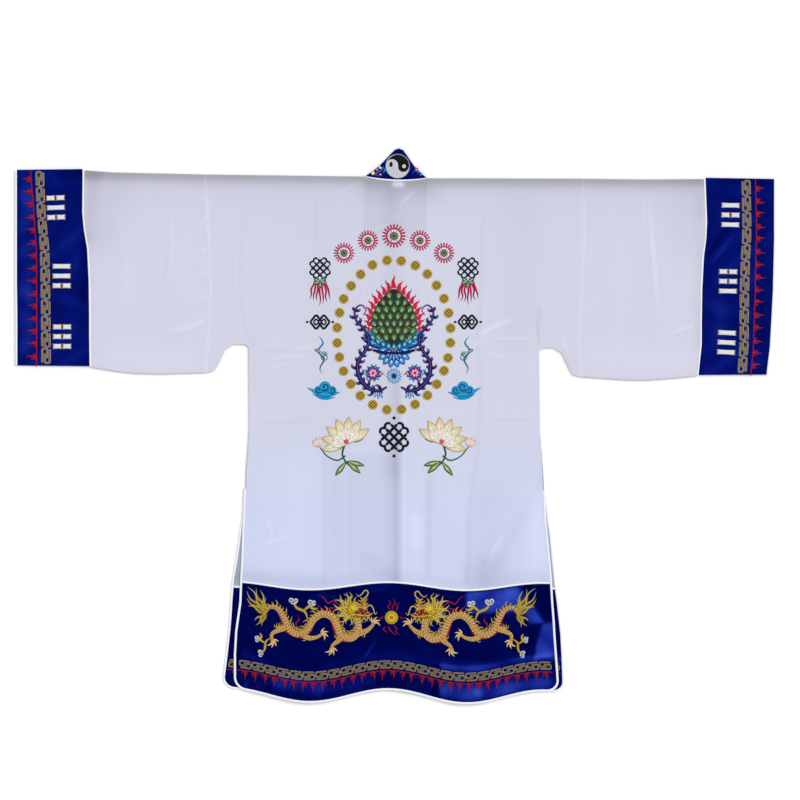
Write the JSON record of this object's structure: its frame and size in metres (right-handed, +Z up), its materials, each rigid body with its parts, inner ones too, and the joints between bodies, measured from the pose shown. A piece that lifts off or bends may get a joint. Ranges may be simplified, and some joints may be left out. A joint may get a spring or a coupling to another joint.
{
  "type": "taoist robe",
  "caption": "White robe with wide sleeves, navy cuffs, collar and hem band and white piping, laid flat with its embroidered back upwards.",
  "frame": {"origin": "middle of the robe's box, on the surface that it lies on", "axes": "+X along the sleeves, +Y from the hem towards the collar, +Z up out of the robe's back"},
  "size_m": [1.8264, 1.3318, 0.0063],
  "materials": {
    "white_cloth": "smooth, slightly sheer",
    "navy_satin": "satin",
    "white_trim": "satin",
    "roundel_thread": "satin stitch in black and white"
  },
  "bodies": {
    "root": {"body_left": "white_cloth", "body_right": "white_cloth", "sleeve_left": "white_cloth", "sleeve_right": "white_cloth", "cuff_piping_left": "white_trim", "cuff_piping_right": "white_trim", "cuff_left": "navy_satin", "cuff_right": "navy_satin", "cuff_binding_left": "white_trim", "cuff_binding_right": "white_trim", "hem_piping_front_left": "white_trim", "hem_piping_front_right": "white_trim", "hem_band_front_left": "navy_satin", "hem_band_front_right": "navy_satin", "binding_front_left": "white_trim", "binding_front_right": "white_trim", "hem_piping_back": "white_trim", "hem_band_back": "navy_satin", "binding_back": "white_trim", "collar": "navy_satin", "neck_piping": "white_trim", "collar_roundel": "roundel_thread"}
  },
  "joints": []
}
